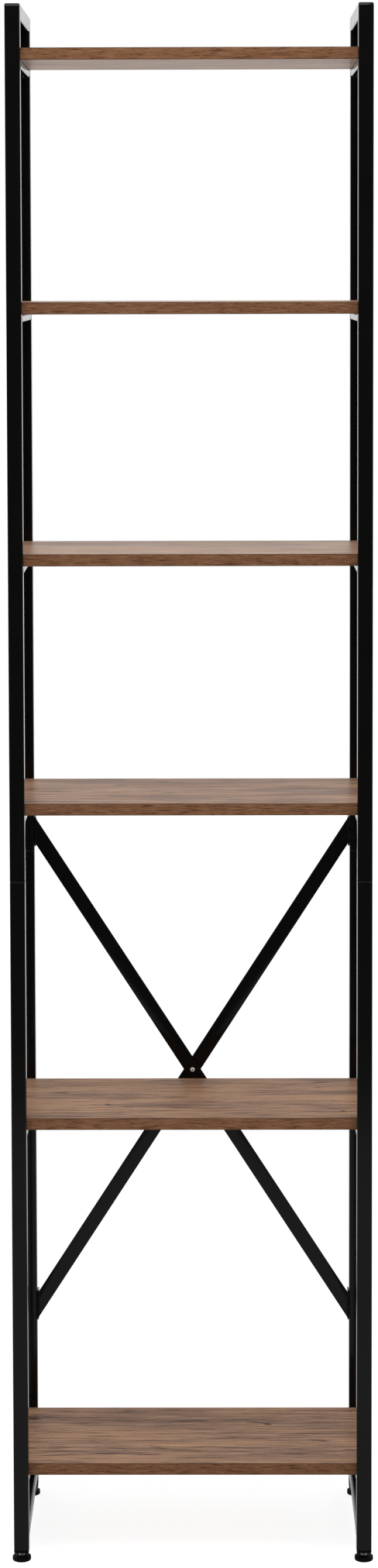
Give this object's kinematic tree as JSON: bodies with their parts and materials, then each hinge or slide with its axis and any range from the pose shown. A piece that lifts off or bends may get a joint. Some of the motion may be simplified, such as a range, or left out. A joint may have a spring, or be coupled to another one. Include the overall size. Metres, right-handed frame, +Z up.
{
  "type": "open-shelf unit",
  "caption": "Tall narrow open-shelf unit: square-tube steel side frames in two stacked modules, wood-grain boards on tube rails, a rear cross brace and levelling feet.",
  "frame": {"origin": "on the floor, under the middle of the unit", "axes": "+X to the right seen from the front, +Y to the rear (the brace is on the rear side), +Z up"},
  "size_m": [0.4848, 0.2648, 2.076],
  "materials": {
    "black_paint": "semi-gloss black powder coat",
    "walnut_laminate": "matt wood-grain laminate on chipboard, edges banded",
    "zinc_steel": "zinc plated",
    "black_plastic": "moulded, fine matt"
  },
  "bodies": {
    "frame": {"bottom_rail_left": "black_paint", "bottom_rail_right": "black_paint", "brace_bar_front": "black_paint", "brace_bar_rear": "black_paint", "brace_bolt_lower_left": "zinc_steel", "brace_bolt_lower_right": "zinc_steel", "brace_bolt_upper_left": "zinc_steel", "brace_bolt_upper_right": "zinc_steel", "brace_centre_bolt": "zinc_steel", "brace_centre_nut": "zinc_steel", "foot_plug_front_left": "black_plastic", "foot_plug_front_right": "black_plastic", "foot_plug_rear_left": "black_plastic", "foot_plug_rear_right": "black_plastic", "joiner_sleeve_front_left": "zinc_steel", "joiner_sleeve_front_right": "zinc_steel", "joiner_sleeve_rear_left": "zinc_steel", "joiner_sleeve_rear_right": "zinc_steel", "lower_post_front_left": "black_paint", "lower_post_front_right": "black_paint", "lower_post_rear_left": "black_paint", "lower_post_rear_right": "black_paint", "rivet_nut_lower_left": "zinc_steel", "rivet_nut_lower_right": "zinc_steel", "rivet_nut_upper_left": "zinc_steel", "rivet_nut_upper_right": "zinc_steel", "shelf_board_1": "walnut_laminate", "shelf_board_2": "walnut_laminate", "shelf_board_3": "walnut_laminate", "shelf_board_4": "walnut_laminate", "shelf_board_5": "walnut_laminate", "shelf_board_6": "walnut_laminate", "shelf_rail_1_left": "black_paint", "shelf_rail_1_right": "black_paint", "shelf_rail_2_left": "black_paint", "shelf_rail_2_right": "black_paint", "shelf_rail_3_left": "black_paint", "shelf_rail_3_right": "black_paint", "shelf_rail_4_left": "black_paint", "shelf_rail_4_right": "black_paint", "shelf_rail_5_left": "black_paint", "shelf_rail_5_right": "black_paint", "shelf_rail_6_left": "black_paint", "shelf_rail_6_right": "black_paint", "sleeve_screw_front_left": "zinc_steel", "sleeve_screw_front_right": "zinc_steel", "top_rail_left": "black_paint", "top_rail_right": "black_paint", "upper_post_front_left": "black_paint", "upper_post_front_right": "black_paint", "upper_post_rear_left": "black_paint", "upper_post_rear_right": "black_paint"},
    "foot_front_left": {"foot_pad_front_left": "black_plastic", "foot_stud_front_left": "zinc_steel"},
    "foot_front_right": {"foot_pad_front_right": "black_plastic", "foot_stud_front_right": "zinc_steel"},
    "foot_rear_left": {"foot_pad_rear_left": "black_plastic", "foot_stud_rear_left": "zinc_steel"},
    "foot_rear_right": {"foot_pad_rear_right": "black_plastic", "foot_stud_rear_right": "zinc_steel"}
  },
  "joints": [
    {"name": "foot_front_left_slide", "type": "slide", "parent": "frame", "child": "foot_front_left", "axis": [0, 0, 1], "range_m": [-0.01, 0.005]},
    {"name": "foot_front_right_slide", "type": "slide", "parent": "frame", "child": "foot_front_right", "axis": [0, 0, 1], "range_m": [-0.01, 0.005]},
    {"name": "foot_rear_left_slide", "type": "slide", "parent": "frame", "child": "foot_rear_left", "axis": [0, 0, 1], "range_m": [-0.01, 0.005]},
    {"name": "foot_rear_right_slide", "type": "slide", "parent": "frame", "child": "foot_rear_right", "axis": [0, 0, 1], "range_m": [-0.01, 0.005]}
  ]
}
